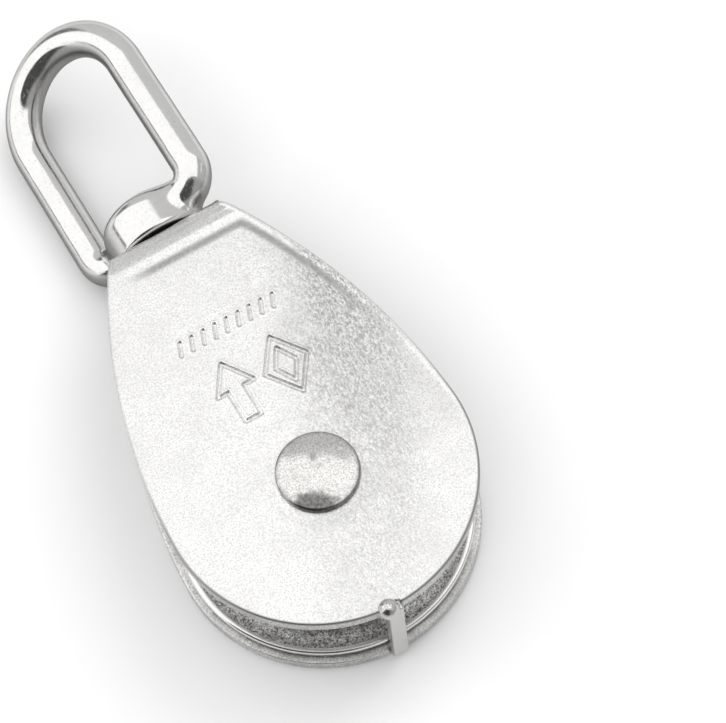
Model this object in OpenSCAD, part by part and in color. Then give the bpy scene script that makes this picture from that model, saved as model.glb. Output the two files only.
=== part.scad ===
// Swivel eye block with one sheave, for rope of about 10 mm.
// The origin is the centre of the sheave, on the axle. +Z runs along the axle,
// out of the front cheek, and +Y runs up the block towards the swivel eye.

/* [Sheave] */
// Diameter over the rims of the sheave
sheave_d = 51.6; // [44:0.2:51.8]
// Width of the sheave across its rims
sheave_w = 14.4; // [13.4:0.2:15.4]
// Rope diameter that the groove fits
rope_d = 11; // [8:0.5:11]
// How much wider than the rope the round of the groove is, on the radius
groove_play = 0.5; // [0.2:0.1:0.5]
// Depth of the groove below the rim
groove_depth = 7; // [5:0.2:7.4]

/* [Frame] */
// Thickness of the strap that the frame is folded from
plate_t = 2.5; // [2:0.1:3]
// Clear width between the two cheeks
cheek_gap = 16.6; // [16:0.2:20]
// Radius of the round lower end of a cheek
cheek_r = 26.85; // [26.6:0.05:29]
// Radius of the long side arcs of a cheek
side_r = 112.6; // [105:0.2:130]
// Distance that the side arcs are centred below the axle
side_drop = 3.3; // [0:0.1:4]
// Height of the top of the frame above the axle
top_y = 55.6; // [54:0.2:58]
// Width of the strap where it crosses the top
bridge_w = 22.4; // [20:0.2:23]
// Outer radius of the two bends of the strap
bend_r = 4; // [3.4:0.2:5]

/* [Axle] */
// Diameter of the axle rivet
axle_d = 7.94; // [7.9:0.01:7.98]
// Diameter of the rivet heads
head_d = 14.3; // [12:0.1:18]
// Height of the straight rim of the front head
head_rim = 0.85; // [0.6:0.05:1.6]
// Height of the dome on the front head
head_dome = 0.9; // [0.3:0.05:1.2]
// Whole height of the rear head
rear_head = 1.2; // [0.8:0.1:1.6]

/* [Tie bar] */
// Width of the tie bar
tie_w = 2.8; // [2.4:0.1:3.6]
// Thickness of the tie bar
tie_t = 1.8; // [1.4:0.1:1.9]
// Sideways offset of the tie bar
tie_x = -1.3; // [-4:0.1:4]
// Radius of the ball head of the tie bar
tie_ball_r = 1.75; // [1.7:0.05:2.4]
// Sideways offset of the ball head from the middle of the bar
tie_ball_shift = -1; // [-1:0.1:1]

/* [Swivel eye] */
// Diameter of the round bar of the eye
bar_d = 6.8; // [5:0.2:7]
// Width of the eye between the centres of its legs
eye_w = 26.8; // [24:0.2:30]
// Height of the centre of the eye's crown above the axle
crown_y = 89.6; // [80:0.2:100]
// Radius of the lower corners of the eye, at the centre of the bar
corner_r = 4.2; // [4:0.1:5]
// Diameter of the boss that the pin goes through
boss_d = 18.2; // [16:0.2:19]
// Height of the boss
boss_h = 9; // [8.6:0.2:10]
// Height of the middle of the eye's foot above the underside of the boss
foot_rise = 5; // [4:0.1:5.2]
// Gap between the boss and the top of the frame
boss_gap = 0.3; // [0.3:0.1:2]
// Angle that the eye is turned out of the plane of the block
swivel_rest = 37; // [-90:1:90]

/* [Swivel pin] */
// Diameter of the swivel pin
pin_d = 8; // [6:0.1:8]
// Diameter of the pin's head inside the frame
pin_head_d = 11.2; // [10:0.2:13]
// Height of the pin's head
pin_head_h = 4.2; // [2.5:0.1:5]

/* [Hidden] */
$fn = 96;

cut = 1;                                  // overshoot of a cutting tool
sheave_r = sheave_d / 2;
groove_r = rope_d / 2 + groove_play;
groove_c = sheave_r - groove_depth + groove_r;
rim_round = 0.5;

outer_z = cheek_gap / 2 + plate_t;        // outer face of a cheek
side_x = sqrt(pow(side_r - cheek_r, 2) - pow(side_drop, 2));
tangent_y = cheek_r * side_drop / (side_r - cheek_r);

// The bearing is 22 x 8 x 7 mm, with seven balls.
race_bore_r = 4;
race_outer_r = 11;
race_half = 3.5;
ball_r = 3.969 / 2;
ball_pitch_r = 7.5;
ball_count = 7;
race_groove_r = ball_r + 0.075;
inner_land_r = 6.05;
outer_land_r = 8.9;
shield_seat_r = 9.6;
shield_inner_r = 6.25;
shield_z = 2.85;
shield_t = 0.4;
cage_inner_r = 6.7;
cage_outer_r = 8.3;
cage_half = 2.45;
cage_pocket_r = ball_r + 0.04;
shoulder_r = 9.5;                         // lip that the bearing is pressed against
spacer_r = 6;
spacer_bore_r = 4.05;

tie_proud = 1.15;                         // how far the tie bar stands out of the cheeks
tie_outer_y = -(cheek_r + tie_proud);
tie_inner_y = tie_outer_y + tie_t;
tie_fit = 0.03;
tie_ball_rise = 0.6;                      // height of the ball's centre above the cheek
tie_bevel_y = 1;                          // bevel on the outer edge of the rear end
tie_bevel_z = 1.5;

bar_r = bar_d / 2;
eye_half = eye_w / 2;
boss_y = top_y + boss_gap;
foot_y = boss_y + foot_rise;
boss_round = 3.2;
boss_foot_round = 0.9;

pin_fit = 0.06;                           // radial running clearance in the frame
pin_axial = 0.1;
pin_head_y = top_y - plate_t - pin_axial;
peen_r = 5.2;
peen_h = 0.9;

// A flat ring about Z.
module ring(r_out, r_in, z_low, z_high) {
    translate([0, 0, z_low])
        difference() {
            cylinder(r = r_out, h = z_high - z_low);
            translate([0, 0, -cut])
                cylinder(r = r_in, h = z_high - z_low + 2 * cut);
        }
}

// Half profile of a low dome of radius r and height h, standing on the X axis.
module dome_profile(r, h) {
    ball = (r * r + h * h) / (2 * h);
    intersection() {
        translate([0, h - ball])
            circle(r = ball, $fn = 360);
        square([r, h]);
    }
}

// Outline of one cheek, seen along the axle.
module cheek_outline() {
    circle(r = cheek_r, $fn = 180);
    intersection() {
        translate([-side_x, -side_drop])
            circle(r = side_r, $fn = 720);
        translate([side_x, -side_drop])
            circle(r = side_r, $fn = 720);
        translate([-cheek_r - cut, tangent_y])
            square([2 * (cheek_r + cut), top_y - tangent_y]);
    }
    translate([-bridge_w / 2, top_y - bend_r])
        square([bridge_w, bend_r]);
}

// A channel section with two rounded corners, in Y and Z.
module channel(half, top, r) {
    translate([-cheek_r - cut, -half])
        square([cheek_r + cut + top - r, 2 * half]);
    translate([top - r, r - half])
        square([r, 2 * (half - r)]);
    for (side = [-1, 1])
        translate([top - r, side * (half - r)])
            circle(r = r);
}

module strap_section() {
    difference() {
        channel(outer_z, top_y, bend_r);
        channel(cheek_gap / 2, top_y - plate_t, bend_r - plate_t);
    }
}

module cheek_frame() {
    color("gainsboro")
        difference() {
            intersection() {
                linear_extrude(2 * outer_z + 2 * cut, center = true)
                    cheek_outline();
                rotate([90, 0, 90])
                    linear_extrude(2 * (cheek_r + cut), center = true)
                        strap_section();
            }
            translate([0, 0, -outer_z - cut])
                cylinder(r = race_bore_r, h = 2 * (outer_z + cut));
            translate([0, top_y - plate_t - cut, 0])
                rotate([-90, 0, 0])
                    cylinder(r = pin_d / 2 + pin_fit, h = plate_t + 2 * cut);
            translate([tie_x - tie_w / 2 - tie_fit, tie_outer_y - cut, -outer_z - cut])
                cube([tie_w + 2 * tie_fit, tie_t + tie_fit + cut, 2 * (outer_z + cut)]);
        }
}

module axle_rivet() {
    color("silver") {
        translate([0, 0, -outer_z])
            cylinder(r = axle_d / 2, h = 2 * outer_z);
        translate([0, 0, outer_z]) {
            cylinder(r = head_d / 2, h = head_rim);
            translate([0, 0, head_rim])
                rotate_extrude()
                    dome_profile(head_d / 2, head_dome);
        }
        translate([0, 0, -outer_z])
            mirror([0, 0, 1])
                rotate_extrude()
                    dome_profile(head_d / 2, rear_head);
    }
}

module spacer_front() {
    color("darkgray")
        ring(spacer_r, spacer_bore_r, race_half, cheek_gap / 2);
}

module spacer_rear() {
    color("darkgray")
        ring(spacer_r, spacer_bore_r, -cheek_gap / 2, -race_half);
}

module ball_track() {
    rotate_extrude()
        translate([ball_pitch_r, 0])
            circle(r = race_groove_r);
}

module bearing_inner_race() {
    color("lightsteelblue")
        difference() {
            ring(inner_land_r, race_bore_r, -race_half, race_half);
            ball_track();
        }
}

module bearing_outer_race() {
    color("lightsteelblue")
        difference() {
            ring(race_outer_r, outer_land_r, -race_half, race_half);
            ball_track();
            for (side = [-1, 1])
                translate([0, 0, side * (shield_z + cut)])
                    cylinder(r = shield_seat_r, h = 2 * cut, center = true);
        }
}

module bearing_balls() {
    color("white")
        for (i = [0 : ball_count - 1])
            rotate([0, 0, 360 * i / ball_count])
                translate([ball_pitch_r, 0, 0])
                    sphere(r = ball_r);
}

module bearing_cage() {
    color("goldenrod")
        difference() {
            ring(cage_outer_r, cage_inner_r, -cage_half, cage_half);
            for (i = [0 : ball_count - 1])
                rotate([0, 0, 360 * i / ball_count])
                    translate([ball_pitch_r, 0, 0])
                        sphere(r = cage_pocket_r);
        }
}

module shield() {
    ring(shield_seat_r, shield_inner_r, shield_z, shield_z + shield_t);
}

module bearing_shield_front() {
    color("slategray")
        shield();
}

module bearing_shield_rear() {
    color("slategray")
        mirror([0, 0, 1])
            shield();
}

// Half section of the sheave's rim and web, before the bore is cut.
module sheave_profile() {
    difference() {
        union() {
            translate([0, -sheave_w / 2])
                square([sheave_r - rim_round, sheave_w]);
            translate([0, rim_round - sheave_w / 2])
                square([sheave_r, sheave_w - 2 * rim_round]);
            for (side = [-1, 1])
                translate([sheave_r - rim_round, side * (sheave_w / 2 - rim_round)])
                    circle(r = rim_round, $fn = 32);
        }
        translate([groove_c, 0])
            circle(r = groove_r);
        translate([groove_c, -groove_r])
            square([groove_depth, 2 * groove_r]);
    }
}

module sheave() {
    color("darkgray")
        difference() {
            rotate_extrude()
                sheave_profile();
            translate([0, 0, -sheave_w / 2 - cut])
                cylinder(r = shoulder_r, h = sheave_w);
            translate([0, 0, -race_half])
                cylinder(r = race_outer_r, h = sheave_w);
        }
}

// Side view of the tie bar, with Y across and Z up.
module tie_side() {
    polygon([
        [tie_outer_y, outer_z],
        [tie_outer_y, tie_bevel_z - outer_z],
        [tie_outer_y + tie_bevel_y, -outer_z],
        [tie_inner_y, -outer_z],
        [tie_inner_y, outer_z]
    ]);
}

module tie_bar() {
    head_y = (tie_outer_y + tie_inner_y) / 2;
    color("silver") {
        translate([tie_x - tie_w / 2, 0, 0])
            rotate([90, 0, 90])
                linear_extrude(tie_w)
                    tie_side();
        translate([tie_x + tie_ball_shift, head_y, outer_z])
            intersection() {
                translate([0, 0, tie_ball_rise])
                    sphere(r = tie_ball_r);
                cylinder(r = tie_ball_r + cut, h = 3 * tie_ball_r);
            }
    }
}

// Half profile of the boss, with its foot on the X axis.
module boss_profile() {
    boss_r = boss_d / 2;
    square([boss_r - boss_foot_round, boss_foot_round]);
    translate([0, boss_foot_round])
        square([boss_r, boss_h - boss_foot_round - boss_round]);
    translate([0, boss_h - boss_round])
        square([boss_r - boss_round, boss_round]);
    translate([boss_r - boss_foot_round, boss_foot_round])
        circle(r = boss_foot_round);
    translate([boss_r - boss_round, boss_h - boss_round])
        circle(r = boss_round);
}

// One leg of the eye with its lower corner and its half of the foot.
module eye_leg() {
    translate([eye_half, foot_y + corner_r, 0])
        rotate([-90, 0, 0])
            cylinder(r = bar_r, h = crown_y - foot_y - corner_r);
    translate([eye_half - corner_r, foot_y + corner_r, 0])
        rotate([0, 0, -90])
            rotate_extrude(angle = 90)
                translate([corner_r, 0])
                    circle(r = bar_r);
    translate([0, foot_y, 0])
        rotate([0, 90, 0])
            cylinder(r = bar_r, h = eye_half - corner_r);
}

module swivel_eye() {
    color("gainsboro")
        rotate([0, -swivel_rest, 0])
            difference() {
                union() {
                    translate([0, crown_y, 0])
                        rotate_extrude(angle = 180)
                            translate([eye_half, 0])
                                circle(r = bar_r);
                    eye_leg();
                    mirror([1, 0, 0])
                        eye_leg();
                    translate([0, boss_y, 0])
                        rotate([-90, 0, 0])
                            rotate_extrude()
                                boss_profile();
                }
                translate([0, boss_y - cut, 0])
                    rotate([-90, 0, 0])
                        cylinder(r = pin_d / 2, h = boss_h + 2 * cut);
            }
}

module swivel_pin() {
    color("silver")
        translate([0, pin_head_y, 0])
            rotate([-90, 0, 0]) {
                mirror([0, 0, 1])
                    rotate_extrude()
                        dome_profile(pin_head_d / 2, pin_head_h);
                cylinder(r = pin_d / 2, h = boss_y + boss_h - pin_head_y);
                translate([0, 0, boss_y + boss_h - pin_head_y])
                    rotate_extrude()
                        dome_profile(peen_r, peen_h);
            }
}

cheek_frame();
axle_rivet();
spacer_front();
spacer_rear();
bearing_inner_race();
bearing_balls();
bearing_cage();
bearing_outer_race();
bearing_shield_front();
bearing_shield_rear();
sheave();
tie_bar();
swivel_eye();
swivel_pin();
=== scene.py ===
"""Swivel eye sheave block: detailed steel pieces around the CAD frame, with studio light and camera.

Shapes are worked out in millimetres, in the CAD frame: +Z out of the front cheek, +Y towards the eye.
"""
import math

import bpy
import numpy as np
from mathutils import Matrix, Vector, noise
from mathutils.geometry import delaunay_2d_cdt


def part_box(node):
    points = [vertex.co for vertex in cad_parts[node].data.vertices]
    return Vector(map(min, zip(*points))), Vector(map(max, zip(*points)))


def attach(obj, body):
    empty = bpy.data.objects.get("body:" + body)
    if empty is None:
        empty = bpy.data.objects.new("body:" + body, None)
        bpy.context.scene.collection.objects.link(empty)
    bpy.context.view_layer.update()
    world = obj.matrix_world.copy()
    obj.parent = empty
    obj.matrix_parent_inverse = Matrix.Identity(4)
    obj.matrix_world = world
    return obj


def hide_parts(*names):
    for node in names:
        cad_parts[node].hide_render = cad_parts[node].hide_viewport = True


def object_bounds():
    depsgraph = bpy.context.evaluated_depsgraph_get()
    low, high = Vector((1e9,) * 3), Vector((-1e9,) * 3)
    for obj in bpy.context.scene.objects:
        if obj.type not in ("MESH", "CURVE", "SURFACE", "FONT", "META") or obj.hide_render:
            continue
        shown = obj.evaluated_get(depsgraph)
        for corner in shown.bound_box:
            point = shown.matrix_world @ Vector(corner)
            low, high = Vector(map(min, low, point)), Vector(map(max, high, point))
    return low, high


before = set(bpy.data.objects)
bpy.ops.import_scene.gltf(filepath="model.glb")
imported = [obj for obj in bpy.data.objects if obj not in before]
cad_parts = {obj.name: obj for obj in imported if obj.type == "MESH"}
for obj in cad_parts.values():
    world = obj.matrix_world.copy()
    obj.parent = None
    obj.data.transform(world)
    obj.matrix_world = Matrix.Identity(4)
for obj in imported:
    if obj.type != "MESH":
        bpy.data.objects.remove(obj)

cad_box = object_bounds()
MM = 0.001


def span_mm(node):
    """Lowest and highest corner of a CAD node, in millimetres."""
    low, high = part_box(node)
    return low / MM, high / MM


# ---------------------------------------------------------------- sizes, in mm
STRAP_LOW, STRAP_HIGH = span_mm("cheek_frame")
RIVET_LOW, RIVET_HIGH = span_mm("axle_rivet")
SHEAVE_HIGH = span_mm("sheave")[1]
PIN_LOW, PIN_HIGH = span_mm("swivel_pin")
TIE_LOW, TIE_HIGH = span_mm("tie_bar")
EYE_HIGH = span_mm("swivel_eye")[1]

PLATE_T = 2.5
BEND_R = 4.0
CHEEK_R = min(STRAP_HIGH.x, -STRAP_LOW.x)
SIDE_R = 112.6
SIDE_DROP = 3.3
SIDE_X = math.sqrt((SIDE_R - CHEEK_R) ** 2 - SIDE_DROP ** 2)
BRIDGE_HALF = 11.2
OUTER_Z = STRAP_HIGH.z
TOP_Y = STRAP_HIGH.y
U_BEND = TOP_Y - BEND_R       # length along the strap where the front cheek ends and the first bend starts
AXLE_HOLE_R = 4.0
SWIVEL_HOLE_R = 4.06
SKEW = 0.025                 # the top of the strap is folded slightly out of square
RIDGE_Y = 50.65              # where the bend breaks away from the flat of the cheek
GROOVE_Y = 50.1              # the groove of the bend is measured from here
EDGE_ROUND = 0.45            # rounding of the strap's edges on its outer face
INNER_ROUND = 0.3            # and on its inner face

TIE_HALF_W = 1.4
TIE_X = TIE_HIGH.x - TIE_HALF_W
TIE_OUTER_Y = -28.0
TIE_INNER_Y = -26.2
TIE_BALL_R = 1.75
TIE_BALL_X = TIE_LOW.x + TIE_BALL_R
TIE_BALL_Z = TIE_HIGH.z - TIE_BALL_R
TIE_BEVEL = (1.0, 1.5)       # bevel of the rear end, across and along the bar

HEAD_R = RIVET_HIGH.x
HEAD_CROWN = 0.9
AXLE_R = 3.97

GROOVE_R = SHEAVE_HIGH.z - 1.2
GROOVE_C = SHEAVE_HIGH.x - 7.0 + GROOVE_R
BEARING_R = 11.0
SHOULDER_R = 9.5
BEARING_HALF = 3.5

BAR_R = 3.4
EYE_HALF = 13.4
CROWN_Y = EYE_HIGH.y - EYE_HALF - BAR_R
CORNER_R = 4.2
BOSS_R = 9.1
BOSS_Y = TOP_Y + 0.3
BOSS_H = 9.0
BOSS_ROUND = 3.2
BOSS_FOOT_ROUND = 0.9
FOOT_Y = BOSS_Y + 5.0
SWIVEL_REST = math.radians(37)
PIN_R = 4.0
PIN_HEAD_R = 5.6
PIN_SEAT_Y = TOP_Y - PLATE_T - 0.1
PEEN_R = 5.2


# ---------------------------------------------------------------- mesh helpers
def new_object(name, points_mm, faces, materials, face_slots=None, normals=None):
    """A smooth-shaded mesh object from points in millimetres."""
    mesh = bpy.data.meshes.new(name)
    points = np.asarray(points_mm, float) * MM
    mesh.from_pydata(points.tolist(), [], [list(map(int, f)) for f in faces])
    mesh.polygons.foreach_set("use_smooth", [True] * len(mesh.polygons))
    for material in materials:
        mesh.materials.append(material)
    if face_slots is not None:
        mesh.polygons.foreach_set("material_index", face_slots)
    mesh.validate()
    mesh.update()
    if normals is not None:
        mesh.normals_split_custom_set_from_vertices(normals.tolist())
    obj = bpy.data.objects.new(name, mesh)
    bpy.context.scene.collection.objects.link(obj)
    return obj


def smoothstep(low, high, x):
    t = np.clip((np.asarray(x, float) - low) / (high - low), 0, 1)
    return t * t * (3 - 2 * t)


def wobble(points, size, seed=0.0):
    """Smooth noise from -1 to 1 at each point, with features of the given size in mm."""
    shift = Vector((seed * 17.3, seed * 5.1, seed * 9.7))
    return np.array([noise.noise(Vector(p) / size + shift) for p in points])


def arc(centre, radius, start_deg, end_deg, steps):
    """Points of an arc in a plane."""
    angles = np.radians(np.linspace(start_deg, end_deg, steps))
    return [(centre[0] + radius * math.cos(a), centre[1] + radius * math.sin(a)) for a in angles]


def lathe(name, profile, materials, segments=192, slots=None, closed=False, shape=None):
    """Turns a profile of (radius, height) points about Z. A closed profile is a ring."""
    profile = np.asarray(profile, float)
    count = len(profile)
    turn = np.linspace(0, 2 * math.pi, segments, endpoint=False)
    points = np.zeros((segments, count, 3))
    points[:, :, 0] = profile[None, :, 0] * np.cos(turn)[:, None]
    points[:, :, 1] = profile[None, :, 0] * np.sin(turn)[:, None]
    points[:, :, 2] = profile[None, :, 1]
    faces, face_slots = [], []
    last = count if closed else count - 1
    for s in range(segments):
        t = (s + 1) % segments
        for k in range(last):
            n = (k + 1) % count
            faces.append((s * count + k, t * count + k, t * count + n, s * count + n))
            face_slots.append(slots[k] if slots else 0)
    points = points.reshape(-1, 3)
    if not closed:
        points, faces, face_slots = close_poles(points, faces, face_slots, segments, count)
    if shape is not None:
        points = shape(points)
    return new_object(name, points, faces, materials, face_slots)


def close_poles(points, faces, face_slots, segments, count):
    """Merges the first and the last profile point of an open lathe into one pole each."""
    grid = np.arange(segments * count).reshape(segments, count)
    grid[:, 0] = grid[0, 0]
    grid[:, -1] = grid[0, -1]
    merged = []
    for face in faces:
        corners = [int(grid.flat[i]) for i in face]
        merged.append([c for i, c in enumerate(corners) if c != corners[i - 1]])
    used = sorted({c for face in merged for c in face})
    place = {old: new for new, old in enumerate(used)}
    return points[used], [[place[c] for c in face] for face in merged], face_slots


def remeshed(name, node, voxel_mm, distance, materials, wave=(0.0, 1.0), rounds=5):
    """A fine mesh of a CAD node, pulled onto the surface where distance(points) is 0.

    wave is the height and the size of a slight unevenness, in mm.
    """
    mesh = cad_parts[node].data.copy()
    obj = bpy.data.objects.new(name, mesh)
    bpy.context.scene.collection.objects.link(obj)
    mesh.transform(Matrix.Scale(1 / MM, 4))
    modifier = obj.modifiers.new("remesh", "REMESH")
    modifier.mode = "VOXEL"
    modifier.voxel_size = voxel_mm
    bpy.context.view_layer.update()
    fine = obj.evaluated_get(bpy.context.evaluated_depsgraph_get()).to_mesh()
    points = np.empty(len(fine.vertices) * 3)
    fine.vertices.foreach_get("co", points)
    points = points.reshape(-1, 3)
    faces = [tuple(p.vertices) for p in fine.polygons]
    obj.to_mesh_clear()
    bpy.data.objects.remove(obj)
    for _ in range(rounds):
        d, gradient = field(distance, points)
        points = points - np.clip(d, -voxel_mm, voxel_mm)[:, None] * gradient
    normals = field(distance, points)[1]
    height, size = wave
    lift, slope = field(lambda p: height * wobble(p, size, 8), points, 0.3, unit=False)
    points = points - normals * np.abs(lift)[:, None]
    normals = normals + slope * np.sign(lift)[:, None]
    normals /= np.linalg.norm(normals, axis=1)[:, None]
    return new_object(name, points, faces, materials, normals=normals)


def field(distance, points, step=0.02, unit=True):
    """Distance and its gradient at each point."""
    gradient = np.zeros_like(points)
    for axis in range(3):
        shift = np.zeros(3)
        shift[axis] = step
        gradient[:, axis] = distance(points + shift) - distance(points - shift)
    size = np.linalg.norm(gradient, axis=1)[:, None] + 1e-12 if unit else 2 * step
    return distance(points), gradient / size


def blend_min(a, b, width):
    """Union of two distances, with a fillet of about that width."""
    h = np.clip(width - np.abs(a - b), 0, None) / width
    return np.minimum(a, b) - h * h * width / 4


def blend_max(a, b, width):
    """Intersection of two distances, with a rounded edge of about that width."""
    return -blend_min(-a, -b, width)


def add(obj, body, slot, *nodes):
    """Rides a finished piece on its body, in place of its CAD nodes."""
    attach(obj, body)
    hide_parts(*nodes)
    return obj


# ---------------------------------------------------------------- materials
class Graph:
    """Short names for building one node tree."""

    def __init__(self, tree):
        self.tree = tree

    def node(self, kind, **inputs):
        made = self.tree.nodes.new(kind)
        for name, value in inputs.items():
            self.put(made, name, value)
        return made

    def put(self, node, name, value):
        socket = node.inputs[int(name[1:])] if name[0] == "_" and name[1:].isdigit() else node.inputs[name]
        if isinstance(value, bpy.types.NodeSocket):
            self.tree.links.new(value, socket)
        else:
            socket.default_value = value

    def noise(self, where, scale, detail=2.0, roughness=0.5, distortion=0.0):
        made = self.node("ShaderNodeTexNoise", Vector=where, Scale=scale, Detail=detail)
        made.inputs["Roughness"].default_value = roughness
        made.inputs["Distortion"].default_value = distortion
        return made.outputs["Fac"]

    def math(self, operation, a, b=0.0, clamp=False):
        made = self.tree.nodes.new("ShaderNodeMath")
        made.operation = operation
        made.use_clamp = clamp
        self.put(made, "_0", a)
        self.put(made, "_1", b)
        return made.outputs[0]

    def remap(self, value, low, high, to_low=0.0, to_high=1.0, smooth=True):
        made = self.tree.nodes.new("ShaderNodeMapRange")
        made.interpolation_type = "SMOOTHSTEP" if smooth else "LINEAR"
        for index, number in enumerate((value, low, high, to_low, to_high)):
            self.put(made, f"_{index}", number)
        return made.outputs[0]

    def mix(self, factor, a, b):
        made = self.tree.nodes.new("ShaderNodeMix")
        made.data_type = "RGBA"
        self.put(made, "_0", factor)
        self.put(made, "_6", a)
        self.put(made, "_7", b)
        return made.outputs[2]

    def length(self, a, b):
        squares = self.math("ADD", self.math("MULTIPLY", a, a), self.math("MULTIPLY", b, b))
        return self.math("SQRT", squares)

    def parts_mm(self, where):
        """X, Y and Z of a position, in millimetres."""
        scaled = self.node("ShaderNodeVectorMath", _0=where, _1=(1 / MM, 1 / MM, 1 / MM))
        scaled.operation = "MULTIPLY"
        return self.node("ShaderNodeSeparateXYZ", Vector=scaled.outputs[0]).outputs

    def drawn_out(self, where, stretch):
        """The position with each axis squeezed, so that a texture is drawn out along it."""
        made = self.node("ShaderNodeVectorMath", _0=where, _1=stretch)
        made.operation = "MULTIPLY"
        return made.outputs[0]

    def over(self, value, top, mask):
        """top laid over value, where the mask is 1."""
        left = self.math("MULTIPLY", value, self.math("SUBTRACT", 1.0, mask))
        return self.math("ADD", left, self.math("MULTIPLY", mask, top))

    def window(self, value, low, high, soft):
        """1 from low to high, with edges of a given softness."""
        rise = self.remap(value, low - soft, low + soft)
        return self.math("MULTIPLY", rise, self.remap(value, high + soft, high - soft))

    def bump(self, height, strength, distance_mm, normal=None):
        made = self.node("ShaderNodeBump", Strength=strength, Distance=distance_mm * MM, Height=height)
        if normal is not None:
            self.put(made, "Normal", normal)
        return made.outputs[0]


def steel(
    name, dark, light, rough, grain_mm, grain, pits=0.0, pit_mm=0.5, cloud_mm=9.0, worm=0.0,
    marks_and_shade=None, specks=0.0, sides=1.0, flecks=0.0, fleck_mm=0.3, rim_tint=1.0,
):
    """Steel with a cloudy tone, grain and pits. rough is the lowest and highest roughness.

    worm draws the grain out into curls. stain(graph, where) gives a mask, a colour and a roughness to lay over it:
    painted shade and marks.
    sides is the tone of painted shade on the flanks and underside, where the surface turns away from straight up.
    flecks is the contrast of fine flecks of size fleck_mm, and rim_tint the tone at a glancing angle.
    """
    material = bpy.data.materials.new(name)
    material.use_nodes = True
    graph = Graph(material.node_tree)
    shader = material.node_tree.nodes["Principled BSDF"]
    shader.inputs["Metallic"].default_value = 1.0
    shader.inputs["Specular Tint"].default_value = (rim_tint, rim_tint, rim_tint, 1)
    where = graph.node("ShaderNodeTexCoord").outputs["Object"]
    cloud = graph.noise(where, 1 / (cloud_mm * MM), 4.0, 0.55)
    coarse = graph.noise(where, 1 / (grain_mm * MM), 3.0, 0.6, worm)
    fine = graph.noise(where, 4 / (grain_mm * MM), 2.0, 0.5)
    tone = graph.math("ADD", graph.math("MULTIPLY", cloud, 0.6), graph.math("MULTIPLY", coarse, 0.4))
    colour = graph.mix(graph.remap(tone, 0.35, 0.65), (*dark, 1), (*light, 1))
    roughness = graph.remap(tone, 0.3, 0.7, rough[1], rough[0])
    if flecks:
        curl = graph.remap(graph.noise(where, 1 / (fleck_mm * MM), 2.0, 0.6), 0.34, 0.60)
        colour = graph.mix(curl, (*(value * (1 - flecks) for value in dark), 1), colour)
    # Painted shade and marks laid over the colour.
    if marks_and_shade is not None:
        mask, over, over_rough = marks_and_shade(graph, where)
        colour = graph.mix(mask, colour, (*over, 1))
        roughness = graph.over(roughness, over_rough, mask)
    if specks:
        bright = graph.remap(graph.noise(where, 1 / (grain_mm * 0.7 * MM), 1.0, 0.5), 0.62, 0.72)
        colour = graph.mix(graph.math("MULTIPLY", bright, specks), colour, (0.95, 0.94, 0.92, 1))
    # Painted shade: where the normal tips away from straight up, towards the flanks and underside, the colour goes
    # darker, to dark times sides.
    if sides < 1:
        facing = graph.node("ShaderNodeSeparateXYZ", Vector=graph.node("ShaderNodeTexCoord").outputs["Normal"]).outputs[2]
        unshaded_facing = graph.remap(graph.math("ADD", facing, graph.math("MULTIPLY", coarse, 0.08)), 0.34, 0.78)
        colour = graph.mix(unshaded_facing, (dark[0] * sides, dark[1] * sides, dark[2] * sides, 1), colour)
        roughness = graph.over(roughness, 0.30, graph.math("SUBTRACT", 1.0, unshaded_facing))
    height = graph.math("ADD", graph.math("MULTIPLY", coarse, 0.7), graph.math("MULTIPLY", fine, 0.3))
    normal = graph.bump(height, grain, grain_mm * 0.12)
    if pits:
        cells = graph.noise(where, 1 / (pit_mm * MM), 1.0, 0.4, 0.6)
        hole = graph.remap(cells, 0.66, 0.74)
        normal = graph.bump(graph.math("SUBTRACT", 1.0, hole), pits, pit_mm * 0.2, normal)
        pit_colour = (dark[0] * 0.6, dark[1] * 0.59, dark[2] * 0.57, 1)
        colour = graph.mix(graph.math("MULTIPLY", hole, pits), colour, pit_colour)
    graph.put(shader, "Base Color", colour)
    graph.put(shader, "Normal", normal)
    graph.put(shader, "Roughness", roughness)
    return material


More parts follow.
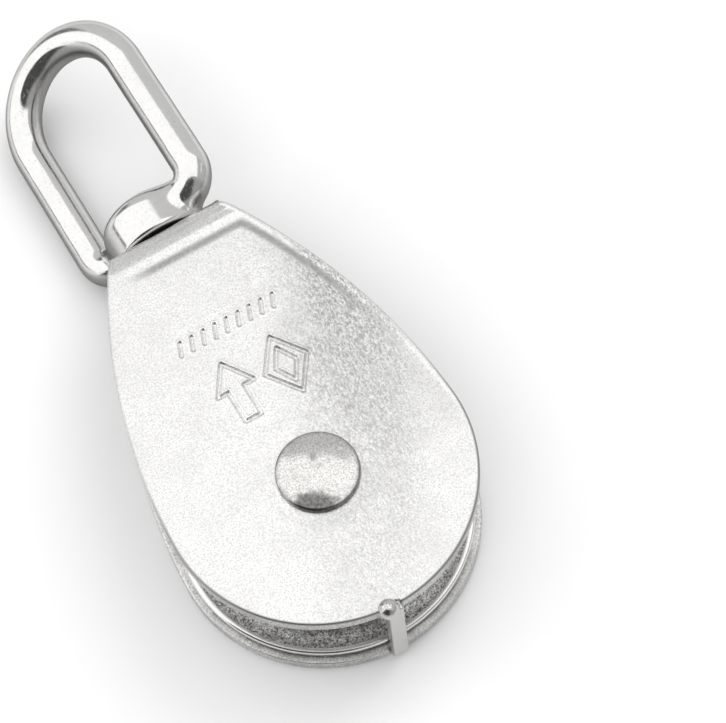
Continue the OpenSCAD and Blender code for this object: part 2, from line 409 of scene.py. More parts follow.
def cheek_painted_shade(graph, where):
    """Painted shade on the cheek: a darker cloudy band from its upper right edge past the axle as a painted reflection,
    painted shade in the bend's groove, and a painted dark reflection along the edge.
    """
    x, y, _ = graph.parts_mm(where)
    # Painted reflection: a cloudy band of darker tone from the upper right edge past the axle, stronger towards the
    # top.
    middle = graph.math("MULTIPLY", graph.math("ADD", y, 18.0), 0.43)
    ragged = graph.math("MULTIPLY", graph.math("SUBTRACT", graph.noise(where, 1 / (5 * MM), 4.0, 0.65), 0.5), 14.0)
    across = graph.math("ADD", graph.math("SUBTRACT", x, middle), ragged)
    band = graph.math("MULTIPLY", graph.remap(across, -15.0, -1.0), graph.remap(across, 17.0, 5.0))
    band = graph.math("MULTIPLY", band, graph.remap(y, -34.0, 40.0, 0.25, 0.98))
    streaks = graph.noise(graph.drawn_out(where, (1.0, 0.45, 1.0)), 1 / (0.34 * MM), 2.0, 0.6, 0.8)
    curl = graph.remap(streaks, 0.34, 0.64, 1.0, 0.12)
    band = graph.math("MULTIPLY", band, curl)

    # Painted dark reflection in a thin strip along the cheek's rounded edge, stronger towards the lower end.
    from_arc = graph.length(graph.math("ADD", graph.math("ABSOLUTE", x), SIDE_X), graph.math("ADD", y, SIDE_DROP))
    from_arc = graph.math("SUBTRACT", SIDE_R, from_arc)
    from_round = graph.math("SUBTRACT", CHEEK_R, graph.length(x, y))
    from_edge = graph.over(from_round, from_arc, graph.math("GREATER_THAN", y, 1.0))
    edge = graph.math("MULTIPLY", graph.remap(from_edge, 0.60, 0.20), graph.remap(y, 16.0, -2.0, 0.4, 1.0))

    # Painted shade in the groove where the bend breaks away from the flat.
    inside = graph.math("MINIMUM", from_arc, graph.math("SUBTRACT", GROOVE_Y, y))
    groove = graph.math("MULTIPLY", graph.window(inside, 1.35, 2.75, 0.5), graph.remap(x, -11.0, -4.0))
    groove = graph.math("MULTIPLY", groove, graph.remap(y, 12.0, 34.0, 0.0, 0.80))
    groove = graph.math("MULTIPLY", groove, graph.remap(graph.noise(where, 1 / (0.6 * MM), 2.0, 0.6), 0.3, 0.6, 0.65, 1.0))
    mask = graph.math("MAXIMUM", graph.math("MAXIMUM", band, edge), groove)
    # Over the mask: a painted shade colour and a higher roughness.
    return mask, (0.36, 0.355, 0.355), 0.38


def head_marks_and_rim_shade(graph, where):
    """A darker patch at the lower side of the rivet head, a small mark near its middle, and painted shade darkening the
    rim.
    """
    x, y, _ = graph.parts_mm(where)

    def level(x_part, y_part):
        return graph.math("ADD", graph.math("MULTIPLY", x, x_part), graph.math("MULTIPLY", y, y_part))

    ragged = graph.math("MULTIPLY", graph.noise(where, 1 / (1.1 * MM), 4.0, 0.65), 2.4)
    # A darker patch towards the lower side of the head.
    down = graph.math("SUBTRACT", level(-0.545, -0.838), 6.6)
    across = graph.math("MULTIPLY", level(0.838, -0.545), 0.62)
    dark_patch = graph.remap(graph.math("ADD", graph.length(down, across), ragged), 4.5, 2.9, 0.0, 0.98)
    dark_patch = graph.math("MULTIPLY", dark_patch, graph.remap(graph.noise(where, 1 / (0.5 * MM), 3.0, 0.6), 0.35, 0.65, 0.78, 1.0))
    mark = graph.length(graph.math("SUBTRACT", x, 0.5), graph.math("SUBTRACT", y, 2.0))
    mark = graph.remap(graph.math("ADD", mark, ragged), 2.3, 1.5, 0.0, 0.45)
    # Painted shade: the rim of the head darkened towards its edge.
    edge = graph.math("ADD", graph.length(x, y), graph.math("MULTIPLY", ragged, 0.5))
    edge = graph.remap(edge, 6.8, 8.1, 0.0, 0.80)
    return graph.math("MAXIMUM", graph.math("MAXIMUM", dark_patch, edge), mark), (0.13, 0.125, 0.12), 0.36


CHEEK = steel(
    "cheek_plate_steel", (0.90, 0.895, 0.885), (0.98, 0.975, 0.965), (0.25, 0.34), 0.40, 1.0,
    worm=1.3, marks_and_shade=cheek_painted_shade, flecks=0.22,
)
CHEEK_EDGE = steel(
    "cheek_edge_steel", (0.50, 0.495, 0.485), (0.74, 0.735, 0.72), (0.34, 0.50), 0.35, 0.9,
    flecks=0.35,
)
CHEEK_INNER = steel(
    "cheek_inner_steel", (0.66, 0.655, 0.64), (0.88, 0.875, 0.86), (0.30, 0.44), 0.35, 0.8,
    flecks=0.2,
)
# sides paints shade on the eye's flanks and underside.
EYE = steel(
    "eye_steel", (0.77, 0.765, 0.75), (0.81, 0.805, 0.79), (0.09, 0.15), 0.9, 0.06,
    pits=0.3, pit_mm=0.3, cloud_mm=6.0, sides=0.42, rim_tint=0.55,
)
RIVET = steel(
    "rivet_steel", (0.74, 0.73, 0.71), (0.88, 0.87, 0.85), (0.12, 0.20), 0.45, 0.22,
    cloud_mm=2.4, marks_and_shade=head_marks_and_rim_shade, flecks=0.28,
)
PIN = steel(
    "pin_steel", (0.62, 0.615, 0.60), (0.78, 0.775, 0.76), (0.16, 0.26), 0.5, 0.10,
    pits=0.2, pit_mm=0.4, cloud_mm=3.0,
)
# sides paints shade where the tie bar faces away from straight up.
TIE = steel(
    "tie_steel", (0.64, 0.635, 0.62), (0.82, 0.815, 0.805), (0.12, 0.22), 0.35, 0.25,
    pits=0.2, pit_mm=0.4, cloud_mm=3.0, sides=0.85, flecks=0.2,
)
RIM = steel("rim_steel", (0.80, 0.795, 0.78), (0.90, 0.895, 0.88), (0.12, 0.20), 0.4, 0.06)
CAST = steel(
    "cast_steel", (0.42, 0.415, 0.405), (0.84, 0.835, 0.82), (0.30, 0.46), 0.50, 1.0,
    pits=0.4, pit_mm=0.5, cloud_mm=2.0, specks=0.9, flecks=0.7, fleck_mm=0.32,
)
BEARING = steel("bearing_steel", (0.60, 0.61, 0.62), (0.72, 0.73, 0.74), (0.12, 0.2), 0.3, 0.05)
SHEET = steel("sheet_steel", (0.55, 0.54, 0.52), (0.66, 0.65, 0.63), (0.25, 0.35), 0.3, 0.08)


# ---------------------------------------------------------------- the strap frame
BEND_LEN = BEND_R * math.pi / 2
U_BRIDGE = U_BEND + BEND_LEN
U_MID = U_BRIDGE + OUTER_Z - BEND_R
TANGENT_DEG = math.degrees(math.asin(SIDE_DROP / (SIDE_R - CHEEK_R)))


def half_width(u):
    """Half the width of the strap at length u, counted from the axle along its outer face."""
    if u > U_BRIDGE:
        return BRIDGE_HALF
    y = u if u < U_BEND else U_BEND + BEND_R * math.sin((u - U_BEND) / BEND_R)
    return max(math.sqrt(SIDE_R ** 2 - (y + SIDE_DROP) ** 2) - SIDE_X, BRIDGE_HALF)


def folded(x, u, depth):
    """Folds the flat strap: x across, u along, depth below the outer face, to points in space."""
    rear = u > U_MID
    along = np.where(rear, 2 * U_MID - u, u)
    turn = np.clip((along - U_BEND) / BEND_R, 0, math.pi / 2)
    past = np.clip(along - U_BRIDGE, 0, None)
    y = np.minimum(along, U_BEND) + (BEND_R - depth) * np.sin(turn)
    y = y + SKEW * x * smoothstep(U_BEND - 14, U_BEND + 2, along)
    z = OUTER_Z - BEND_R + (BEND_R - depth) * np.cos(turn) - past
    return np.column_stack([x, y, np.where(rear, -z, z)])


def side_edge():
    """Right edge of the front half of the strap, from the round lower end to the middle of the top."""
    edge = [(half_width(u), u) for u in np.arange(2.0, U_BEND, 0.55)]
    edge += [(half_width(u), u) for u in np.arange(U_BEND, U_BRIDGE, 0.3)]
    edge += [(BRIDGE_HALF, u) for u in np.linspace(U_BRIDGE, U_MID, 16)]
    return edge


def strap_outline():
    """Closed outline of the flat strap, anticlockwise, with the notches for the tie bar."""
    corner = 0.5
    wall = TIE_HALF_W + 0.03
    notch_half = []
    for side in (1, -1):
        x = TIE_X + side * wall
        foot = -math.sqrt(CHEEK_R ** 2 - (x + side * corner) ** 2)
        mouth = arc((side * x + corner, foot + corner), corner, 270, 180, 6)
        inner = arc((side * x - 0.3, TIE_INNER_Y - 0.3), 0.3, 0, 90, 5)
        points = mouth + [(side * x, (foot + TIE_INNER_Y) / 2)] + inner
        notch_half.append([(side * px, py) for px, py in points])
    right_start = math.degrees(math.asin((TIE_X + wall + corner) / CHEEK_R)) - 90
    left_start = math.degrees(math.asin((wall + corner - TIE_X) / CHEEK_R)) - 90
    side = side_edge()
    right = arc((0, 0), CHEEK_R, right_start, TANGENT_DEG, 90)[1:] + side
    left = arc((0, 0), CHEEK_R, left_start, TANGENT_DEG, 86)[1:] + side
    right = list(reversed(notch_half[0])) + right
    left = [(-x, u) for x, u in left]
    left = list(reversed(notch_half[1])) + left
    back = [(x, 2 * U_MID - u) for x, u in reversed(right[:-1])]
    rear_left = [(x, 2 * U_MID - u) for x, u in left[:-1]]
    return np.array(right + back + rear_left + list(reversed(left)))


def inset(loop, distance, hole=False):
    """The loop moved into the material by a distance."""
    ahead = np.roll(loop, -1, axis=0) - np.roll(loop, 1, axis=0)
    ahead /= np.linalg.norm(ahead, axis=1)[:, None]
    inward = np.column_stack([-ahead[:, 1], ahead[:, 0]])
    return loop + inward * distance * (-1 if hole else 1)


def round_drop(distance, radius):
    """How far a rounded edge lies below the face at a distance from the outline."""
    inside = np.clip(radius - distance, 0, radius)
    return radius - np.sqrt(radius ** 2 - inside ** 2)


def marks():
    """Stamped strokes on the front cheek, each (x1, y1, x2, y2): a row of slanted dashes over two plain shapes."""
    strokes = []
    for k in range(9):
        x = -8.6 + 2.25 * k
        strokes.append((x - 0.45, 30.8, x + 0.45, 33.1))
    strokes += polygon([(-4.1, 26.0), (-0.6, 20.6), (-2.6, 20.6), (-2.6, 14.4), (-5.6, 14.4), (-5.6, 20.6), (-7.6, 20.6)])
    for half_w, half_h in ((4.1, 5.9), (2.0, 3.5)):
        cx, cy = 5.4, 20.2
        strokes += polygon([(cx, cy + half_h), (cx + half_w, cy), (cx, cy - half_h), (cx - half_w, cy)])
    return np.array(strokes)


def polygon(corners):
    return [(*corners[k], *corners[(k + 1) % len(corners)]) for k in range(len(corners))]


def stroke_distance(x, y, strokes):
    """Distance from each point to the nearest stroke."""
    best = np.full(len(x), 1e3)
    for x1, y1, x2, y2 in strokes:
        dx, dy = x2 - x1, y2 - y1
        t = np.clip(((x - x1) * dx + (y - y1) * dy) / (dx * dx + dy * dy), 0, 1)
        best = np.minimum(best, np.hypot(x - x1 - t * dx, y - y1 - t * dy))
    return best


def outer_relief(x, u):
    """Depth below the flat outer face: shoulder groove, seat round the axle, wave of the sheet and stamped marks."""
    rear = u > U_MID
    along = np.where(rear, 2 * U_MID - u, u)
    flat_part = along < U_BEND
    width = np.array([half_width(v) for v in np.clip(along, 2.0, None)])
    from_side = width - np.abs(x)
    inside = -blend_max(-from_side, along - GROOVE_Y, 2.0)
    fade = smoothstep(10.0, 32.0, along) * smoothstep(-13.0, -3.0, x)
    groove = 0.16 * smoothstep(-0.4, 1.1, inside) * (1 - smoothstep(1.2, 3.0, inside))
    depth = np.where(flat_part, groove * fade, 0)
    depth += np.where(flat_part, 0.10 * (1 - smoothstep(8.0, 10.4, np.hypot(x, along))), 0)
    early = np.clip(along + SKEW * x - RIDGE_Y, 0, 2.6)
    depth += (0.17 * early + 0.02 * early ** 2) * (1 - smoothstep(U_BEND, U_BRIDGE, along))
    depth += np.where(flat_part, 0.0011 * np.clip(x - 2.0, 0, None) ** 2, 0) * smoothstep(-6.0, 10.0, along)
    place = np.column_stack([x, along, np.where(rear, 40.0, 0.0)])
    depth += 0.045 * (1 + wobble(place, 17.0, 3)) + 0.014 * (1 + wobble(place, 5.0, 5))
    near = (~rear) & (np.abs(x) < 12) & (along > 12) & (along < 35)
    d = stroke_distance(x[near], along[near], marks())
    depth[near] += 0.38 * (1 - smoothstep(0.10, 0.44, d)) - 0.04 * np.exp(-(((d - 0.6) / 0.18) ** 2))
    return depth


def hex_grid(x_low, x_high, u_low, u_high, step):
    """Staggered rows of points."""
    rows = np.arange(u_low, u_high, step * 0.866)
    cols = np.arange(x_low, x_high, step)
    points = [np.column_stack([cols + (k % 2) * step / 2, np.full(len(cols), u)]) for k, u in enumerate(rows)]
    return np.concatenate(points)


def skin(outline, holes, rings, grids):
    """Triangles of a flat face. Returns points, their distance from the rim, and triangles."""
    loops = [(outline, False)] + [(h, True) for h in holes]
    parts, gaps, edges = [], [], []
    start = 0
    for loop, is_hole in loops:
        n = len(loop)
        parts.append(loop)
        gaps.append(np.zeros(n))
        edges += [(start + k, start + (k + 1) % n) for k in range(n)]
        start += n
    for loop, is_hole in loops:
        for ring in rings:
            parts.append(inset(loop, ring, is_hole))
            gaps.append(np.full(len(loop), ring))
    rim = np.concatenate([loop for loop, _ in loops])
    for grid in grids:
        near = np.array([half_width(min(v, 2 * U_MID - v)) if 2 < min(v, 2 * U_MID - v) else CHEEK_R for v in grid[:, 1]])
        grid = grid[np.abs(grid[:, 0]) < near]
        gap = np.empty(len(grid))
        for first in range(0, len(grid), 4000):
            block = grid[first:first + 4000]
            gap[first:first + 4000] = np.sqrt(((block[:, None, :] - rim[None, :, :]) ** 2).sum(2)).min(1)
        keep = gap > rings[-1] + 0.25
        parts.append(grid[keep])
        gaps.append(gap[keep])
    points = np.concatenate(parts)
    gaps = np.concatenate(gaps)
    found = delaunay_2d_cdt([Vector(p) for p in points], edges, [], 2, 1e-6)
    verts, faces, origin = found[0], found[2], found[3]
    source = np.array([o[0] if o else 0 for o in origin])
    return np.array([tuple(v) for v in verts]), gaps[source], faces, source


def build_strap():
    outline = strap_outline()
    turn = np.linspace(0, 2 * math.pi, 72, endpoint=False)
    circle = np.column_stack([np.cos(turn), np.sin(turn)])
    holes = [circle * AXLE_HOLE_R, circle * AXLE_HOLE_R + (0, 2 * U_MID), circle * SWIVEL_HOLE_R + (0, U_MID)]
    top = 2 * U_MID + CHEEK_R
    coarse = hex_grid(-CHEEK_R, CHEEK_R, -CHEEK_R, top, 1.3)
    bends = hex_grid(-CHEEK_R, CHEEK_R, U_BEND - 5, U_BRIDGE + 1, 0.32)
    rear_bends = bends * (1, -1) + (0, 2 * U_MID)
    panel = hex_grid(-CHEEK_R, CHEEK_R, -CHEEK_R, U_BEND - 5, 0.6)
    lettering = hex_grid(-11.4, 11.4, 12.8, 34.4, 0.15)

    def outside(grid, low_x, high_x, low_u, high_u):
        x, u = grid[:, 0], grid[:, 1]
        return grid[~((x > low_x) & (x < high_x) & (u > low_u) & (u < high_u))]

    coarse_outer = outside(coarse, -99, 99, -99, U_BRIDGE + 1)
    coarse_outer = outside(coarse_outer, -99, 99, 2 * U_MID - U_BRIDGE - 1, 2 * U_MID - U_BEND + 5)
    coarse_inner = outside(coarse, -99, 99, U_BEND - 5, U_BRIDGE + 1)
    coarse_inner = outside(coarse_inner, -99, 99, 2 * U_MID - U_BRIDGE - 1, 2 * U_MID - U_BEND + 5)
    panel = outside(panel, -11.6, 11.6, 12.6, 34.6)
    outer_rings = [0.05, 0.14, 0.27, EDGE_ROUND, 0.8]
    inner_rings = [0.05, 0.15, INNER_ROUND]
    outer = skin(outline, holes, outer_rings, [coarse_outer, bends, rear_bends, panel, lettering])
    inner = skin(outline, holes, inner_rings, [coarse_inner, bends, rear_bends])

    flat, gap, faces, source = outer
    depth = round_drop(gap, EDGE_ROUND) + outer_relief(flat[:, 0], flat[:, 1]) * smoothstep(0.0, 0.8, gap)
    points = [folded(flat[:, 0], flat[:, 1], depth)]
    all_faces = [tuple(f) for f in faces]
    outer_faces = len(all_faces)
    place = [dict(zip(source.tolist(), range(len(source))))]
    flat, gap, faces, source = inner
    depth = PLATE_T - round_drop(gap, INNER_ROUND)
    points.append(folded(flat[:, 0], flat[:, 1], depth))
    base = len(points[0])
    all_faces += [tuple(base + i for i in reversed(f)) for f in faces]
    place.append({s: base + k for k, s in enumerate(source.tolist())})

    rows = 5
    start = 0
    skin_faces = len(all_faces)
    points = np.concatenate(points)
    for loop in [outline] + holes:
        n = len(loop)
        ring = [[place[0][start + k] for k in range(n)]]
        for row in range(1, rows):
            t = row / rows
            below = EDGE_ROUND + t * (PLATE_T - EDGE_ROUND - INNER_ROUND)
            extra = folded(loop[:, 0], loop[:, 1], np.full(n, below))
            ring.append(list(range(len(points), len(points) + n)))
            points = np.concatenate([points, extra])
        ring.append([place[1][start + k] for k in range(n)])
        for a, b in zip(ring[:-1], ring[1:]):
            for k in range(n):
                m = (k + 1) % n
                quad = (a[k], b[k], b[m], a[m])
                all_faces.append(quad)
        start += n
    face_slots = [0] * outer_faces + [1] * (skin_faces - outer_faces) + [2] * (len(all_faces) - skin_faces)
    obj = new_object("cheek_strap", points, all_faces, [CHEEK, CHEEK_INNER, CHEEK_EDGE], face_slots)
    return add(obj, "frame", "cheek_plate", "cheek_frame")


# ---------------------------------------------------------------- turned pieces
def build_rivet():
    front, rear = RIVET_HIGH.z, RIVET_LOW.z
    rim_r = 0.5
    ball = (HEAD_R ** 2 + HEAD_CROWN ** 2) / (2 * HEAD_CROWN)
    profile = [(r, front - ball + math.sqrt(ball ** 2 - r ** 2)) for r in np.linspace(0, HEAD_R - rim_r, 52)]
    shoulder = profile[-1][1] - rim_r
    profile += arc((HEAD_R - rim_r, shoulder), rim_r, 72, 0, 8)
    profile += [(HEAD_R, OUTER_Z + 0.22), (HEAD_R - 0.2, OUTER_Z + 0.02), (AXLE_R, OUTER_Z), (AXLE_R, -OUTER_Z)]
    profile += [(HEAD_R - 0.1, -OUTER_Z - 0.02), (HEAD_R, -OUTER_Z - 0.18)]
    low = -OUTER_Z - rear
    ball = (HEAD_R ** 2 + low ** 2) / (2 * low)
    profile += [(r, rear + ball - math.sqrt(ball ** 2 - r ** 2)) for r in np.linspace(HEAD_R - 0.15, 0, 36)]
    dents = [(0.9, 0.6, 0.5, 0.055), (0.3, 0.2, 0.3, 0.03), (1.3, 1.1, 0.3, 0.03), (5.0, 1.0, 0.4, 0.04)]

    def hammered(points):
        head = np.abs(points[:, 2]) > OUTER_Z + 0.3
        part = points[head]
        press = 0.05 * (0.6 + 0.5 * wobble(part, 3.2, 2)) + 0.006 * (1 + wobble(part, 0.9, 7))
        for x, y, radius, depth in dents:
            press += depth * np.exp(-((part[:, 0] - x) ** 2 + (part[:, 1] - y) ** 2) / radius ** 2)
        points[head, 2] -= np.sign(part[:, 2]) * press
        return points

    obj = lathe("axle_rivet_turned", profile, [RIVET], 220, shape=hammered)
    return add(obj, "frame", "rivet_steel", "axle_rivet")


def build_sheave():
    rim = SHEAVE_HIGH.x
    half = SHEAVE_HIGH.z
    edge = 0.35
    lip = 0.5
    steps = 61
    upper = [(BEARING_R, BEARING_HALF), (BEARING_R, half - 0.3), (BEARING_R + 0.3, half)]
    upper += [(r, half) for r in (13.0, 16.0, 19.0, 22.0)]
    upper += arc((rim - edge, half - edge), edge, 90, 0, 7)
    upper += arc((rim - lip, GROOVE_R + lip), lip, 0, -50, 7)
    upper += [(rim - 0.30, GROOVE_R + 0.017), (rim - 0.34, GROOVE_R)]
    groove = arc((GROOVE_C, 0), GROOVE_R, 90, 270, steps)
    lower = [(r, -z) for r, z in reversed(upper[3:])]
    lower += [(SHOULDER_R + 0.2, -half), (SHOULDER_R, 0.2 - half), (SHOULDER_R, -BEARING_HALF), (BEARING_R, -BEARING_HALF)]
    profile = upper + groove + lower

    def cast(start, end):
        """The groove and the flat sides are as cast, and the rims are turned."""
        r, z = (start[0] + end[0]) / 2, abs(start[1] + end[1]) / 2
        in_groove = BEARING_R + 2 < r < GROOVE_C - 0.001 and z < GROOVE_R
        return in_groove or (z > half - 0.001 and BEARING_R < r < 22.0)

    slots = [int(cast(start, end)) for start, end in zip(profile, profile[1:] + profile[:1])]

    def rough(points):
        radius = np.hypot(points[:, 0], points[:, 1])
        inside = (radius < GROOVE_C) & (np.abs(points[:, 2]) < GROOVE_R - 0.02) & (radius > GROOVE_C - GROOVE_R - 0.1)
        part = points[inside]
        amount = smoothstep(0.05, 0.5, GROOVE_R - np.abs(part[:, 2]))
        lump = 0.10 * wobble(part, 1.7, 1) + 0.07 * wobble(part, 0.75, 4)
        scale = 1 + (amount * lump / radius[inside])
        points[inside, 0] *= scale
        points[inside, 1] *= scale
        return points

    obj = lathe("sheave_wheel", profile, [RIM, CAST], 440, slots, True, rough)
    return add(obj, "wheel", "sheave_cast", "sheave")


def build_pin():
    head_h = PIN_SEAT_Y - PIN_LOW.y
    ball = (PIN_HEAD_R ** 2 + head_h ** 2) / (2 * head_h)
    peen_h = PIN_HIGH.y - BOSS_Y - BOSS_H
    boss_top = BOSS_Y + BOSS_H
    profile = []
    for a in np.linspace(0, math.asin(PIN_HEAD_R / ball), 30):
        profile.append((ball * math.sin(a), PIN_LOW.y + ball * (1 - math.cos(a))))
    profile += [(PIN_HEAD_R, PIN_SEAT_Y - 0.15), (PIN_HEAD_R - 0.15, PIN_SEAT_Y), (PIN_R, PIN_SEAT_Y), (PIN_R, boss_top)]
    profile += [(PEEN_R - 0.1, boss_top), (PEEN_R, boss_top + 0.12)]
    ball = (PEEN_R ** 2 + peen_h ** 2) / (2 * peen_h)
    for r in np.linspace(PEEN_R - 0.2, 0, 24):
        profile.append((r, PIN_HIGH.y - ball + math.sqrt(ball ** 2 - r ** 2)))

    def along_y(points):
        points = points[:, [0, 2, 1]] * (1, 1, -1)
        ends = (points[:, 1] > boss_top + 0.2) | (points[:, 1] < PIN_SEAT_Y - 0.4)
        points[ends, 1] -= 0.05 * np.abs(wobble(points[ends], 2.5, 6)) * np.sign(points[ends, 1] - BOSS_Y)
        return points

    obj = lathe("swivel_pin_turned", profile, [PIN], 144, shape=along_y)
    return add(obj, "swivel", "rivet_steel", "swivel_pin")


# ---------------------------------------------------------------- the eye and the tie bar
def eye_distance(points):
    """Distance to the surface of the eye: a round bar bent to a long ring, blended into a bored boss."""
    c, s = math.cos(SWIVEL_REST), math.sin(SWIVEL_REST)
    x = np.abs(points[:, 0] * c + points[:, 2] * s)
    z = -points[:, 0] * s + points[:, 2] * c
    y = points[:, 1]
    corner_x, corner_y = EYE_HALF - CORNER_R, FOOT_Y + CORNER_R
    crown = np.hypot(x, y - CROWN_Y) - EYE_HALF
    corner = np.hypot(x - corner_x, y - corner_y) - CORNER_R
    flat = np.where(y > CROWN_Y, crown, x - EYE_HALF)
    flat = np.where((y < corner_y) & (x > corner_x), corner, flat)
    flat = np.where((y < corner_y) & (x <= corner_x), y - FOOT_Y, flat)
    bar = np.hypot(flat, z) - BAR_R
    across = np.hypot(x, z)
    mid_y = BOSS_Y + BOSS_H / 2
    round_r = np.where(y > mid_y, BOSS_ROUND, BOSS_FOOT_ROUND)
    out_r = across - (BOSS_R - round_r)
    out_y = np.abs(y - mid_y) - (BOSS_H / 2 - round_r)
    boss = np.hypot(np.clip(out_r, 0, None), np.clip(out_y, 0, None)) + np.minimum(np.maximum(out_r, out_y), 0) - round_r
    bore = np.maximum(across - PIN_R, np.abs(y - mid_y) - BOSS_H)
    return blend_max(blend_min(bar, boss, 2.2), -bore, 0.4)


def build_eye():
    obj = remeshed("swivel_eye_forged", "swivel_eye", 0.28, eye_distance, [EYE], (0.05, 7.0))
    return add(obj, "swivel", "eye_polished", "swivel_eye")


def tie_distance(points):
    """Distance to the surface of the tie bar: a flat bar with a ball in front and a bevelled end behind."""
    x = points[:, 0] - TIE_X
    y = points[:, 1] - (TIE_OUTER_Y + TIE_INNER_Y) / 2
    z = points[:, 2]
    soft = 0.35
    half = np.array([TIE_HALF_W, (TIE_INNER_Y - TIE_OUTER_Y) / 2, OUTER_Z]) - soft
    over = np.column_stack([np.abs(x), np.abs(y), np.abs(z)]) - half
    bar = np.linalg.norm(np.clip(over, 0, None), axis=1) + np.minimum(over.max(1), 0) - soft
    deep, tall = TIE_BEVEL
    bevel = (-(points[:, 1] - TIE_OUTER_Y) * tall - (z + OUTER_Z) * deep + deep * tall) / math.hypot(deep, tall)
    bar = blend_max(bar, bevel, 0.3)
    ball = np.sqrt((points[:, 0] - TIE_BALL_X) ** 2 + y ** 2 + (z - TIE_BALL_Z) ** 2) - TIE_BALL_R
    ball = blend_max(ball, OUTER_Z - z, 0.3)
    return blend_min(bar, ball, 0.5)


def build_tie():
    obj = remeshed("tie_bar_forged", "tie_bar", 0.12, tie_distance, [TIE], (0.03, 2.0))
    return add(obj, "frame", "tie_steel", "tie_bar")


def finish_cad_nodes():
    """The bearing and its spacers keep their CAD shapes."""
    looks = {
        BEARING: ("spacer_front", "spacer_rear", "bearing_inner_race", "bearing_outer_race", "bearing_balls"),
        SHEET: ("bearing_cage", "bearing_shield_front", "bearing_shield_rear"),
    }
    for material, nodes in looks.items():
        for node in nodes:
            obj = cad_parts[node]
            for slot in obj.material_slots:
                slot.material = material


# ---------------------------------------------------------------- studio
def build_floor():
    low = min(cad_box[0].z, cad_box[1].z)
    size = 3.0
    points = np.array([(-size, -size, low), (size, -size, low), (size, size, low), (-size, size, low)]) / MM
    material = bpy.data.materials.new("white_floor")
    material.use_nodes = True
    shader = material.node_tree.nodes["Principled BSDF"]
    shader.inputs["Base Color"].default_value = (0.93, 0.93, 0.93, 1)
    shader.inputs["Roughness"].default_value = 0.22
    shader.inputs["Specular IOR Level"].default_value = 0.35
    floor = new_object("floor", points, [(0, 1, 2, 3)], [material])


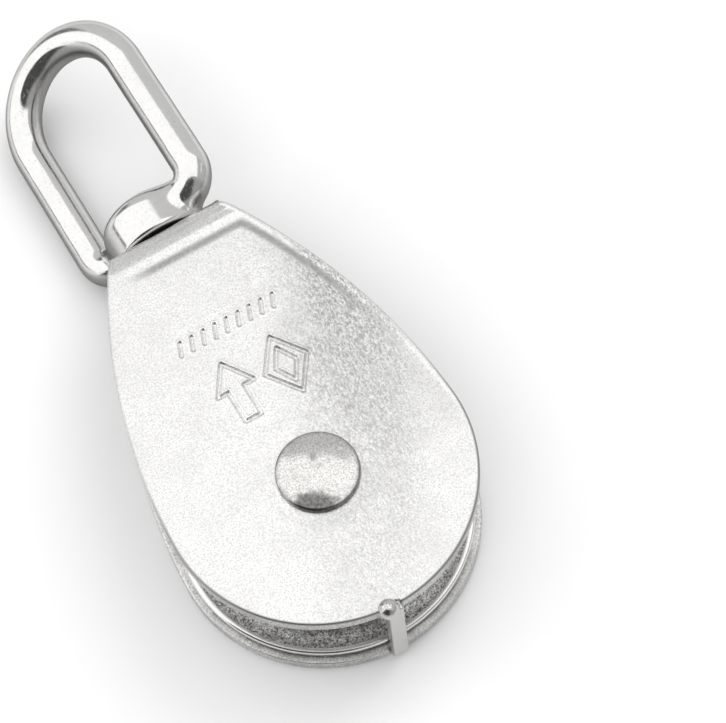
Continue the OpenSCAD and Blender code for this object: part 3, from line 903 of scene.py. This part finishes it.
def build_world():
    """White studio with a broad softbox overhead.

    right and ahead measure the angle from straight up, in radians, along two level directions.
    """
    softbox, strip, behind, beside, near, near_right, corner = 1.25, 1.2, 0.66, 0.52, 0.075, 0.38, 0.20
    turn = math.radians(30)
    world = bpy.data.worlds.new("studio")
    bpy.context.scene.world = world
    world.use_nodes = True
    tree = world.node_tree
    graph = Graph(tree)
    direction = graph.node("ShaderNodeTexCoord").outputs["Generated"]
    parts = graph.node("ShaderNodeSeparateXYZ", Vector=direction).outputs

    def level(x_part, y_part):
        return graph.math("ADD", graph.math("MULTIPLY", parts[0], x_part), graph.math("MULTIPLY", parts[1], y_part))

    to_right = level(math.cos(turn), -math.sin(turn))
    to_front = level(math.sin(turn), math.cos(turn))
    squares = graph.math("ADD", graph.math("MULTIPLY", to_right, to_right), graph.math("MULTIPLY", to_front, to_front))
    tilt = graph.math("DIVIDE", graph.math("ARCCOSINE", parts[2]), graph.math("ADD", graph.math("SQRT", squares), 1e-5))
    right = graph.math("MULTIPLY", to_right, tilt)
    ahead = graph.math("MULTIPLY", to_front, tilt)

    slant = graph.math("MULTIPLY", graph.math("MINIMUM", graph.math("ADD", right, 0.5), 0.0), 0.55)
    box = graph.math("MULTIPLY", graph.window(right, -1.55, 0.61, 0.02), graph.remap(ahead, 0.60, 0.56))
    box = graph.math("MULTIPLY", box, graph.remap(graph.math("SUBTRACT", ahead, slant), -0.39, -0.35))
    strength = graph.remap(right, 0.10, 0.50, near, near_right)
    sides = graph.math("MULTIPLY", graph.remap(right, 0.55, 0.65), graph.remap(ahead, -0.55, -0.30))
    strength = graph.over(strength, beside, sides)
    strength = graph.over(strength, behind, graph.remap(ahead, 0.54, 0.62))
    wedge = graph.math("MULTIPLY", graph.window(right, -1.4, -0.9, 0.08), graph.window(ahead, 0.66, 1.1, 0.05))
    strength = graph.over(strength, corner, wedge)
    strength = graph.over(strength, softbox, box)
    tube = graph.math("MULTIPLY", graph.window(right, 0.965, 1.035, 0.01), graph.window(ahead, -0.1, 0.44, 0.02))
    strength = graph.over(strength, strip, tube)
    horizon = graph.math("MULTIPLY", graph.remap(right, -1.40, -1.50), graph.window(parts[2], 0.02, 0.10, 0.02))
    strength = graph.over(strength, 0.15, horizon)

    seen = graph.node("ShaderNodeLightPath").outputs["Is Camera Ray"]
    grey = graph.node("ShaderNodeCombineColor", Red=strength, Green=strength, Blue=strength).outputs[0]
    graph.put(tree.nodes["Background"], "Color", graph.mix(seen, grey, (0.93, 0.93, 0.93, 1)))


def area_light(name, place, target, size, power, glossy):
    light = bpy.data.lights.new(name, "AREA")
    light.shape = "RECTANGLE"
    light.size, light.size_y = size
    light.energy = power
    obj = bpy.data.objects.new(name, light)
    obj.location = place
    obj.rotation_euler = (Vector(target) - Vector(place)).to_track_quat("-Z", "Y").to_euler()
    obj.visible_glossy = glossy
    obj.visible_camera = False
    bpy.context.scene.collection.objects.link(obj)


def build_lights():
    area_light("key", (0.9, 0.45, 1.0), (0.0, 0.02, 0.0), (0.9, 0.9), 5.2, False)
    area_light("fill", (-0.7, -0.7, 1.1), (0.0, 0.02, 0.0), (1.2, 1.2), 8.0, False)


def build_camera():
    """The camera looks down at the block from its lower left, slightly rolled."""
    azimuth, elevation, roll = math.radians(-23.42), math.radians(64.18), math.radians(-7.58)
    distance = 0.4569
    target = Vector((0.01869, 0.01841, 0.0))
    back = Vector((math.sin(azimuth) * math.cos(elevation), -math.cos(azimuth) * math.cos(elevation), math.sin(elevation)))
    right = Vector((math.cos(azimuth), math.sin(azimuth), 0))
    up = back.cross(right)
    turned = right * math.cos(roll) + up * math.sin(roll)
    up = back.cross(turned)
    camera = bpy.data.cameras.new("camera")
    camera.sensor_width = 36
    camera.lens = 130.7
    camera.clip_start = 0.01
    obj = bpy.data.objects.new("camera", camera)
    axes = Matrix((turned, up, back)).transposed().to_4x4()
    obj.matrix_world = Matrix.Translation(target + back * distance) @ axes
    bpy.context.scene.collection.objects.link(obj)
    bpy.context.scene.camera = obj


build_camera()
build_strap()
build_rivet()
build_sheave()
build_pin()
build_eye()
build_tie()
finish_cad_nodes()
build_floor()
build_world()
build_lights()
view = bpy.context.scene.view_settings
view.view_transform = "Standard"
view.look = "None"
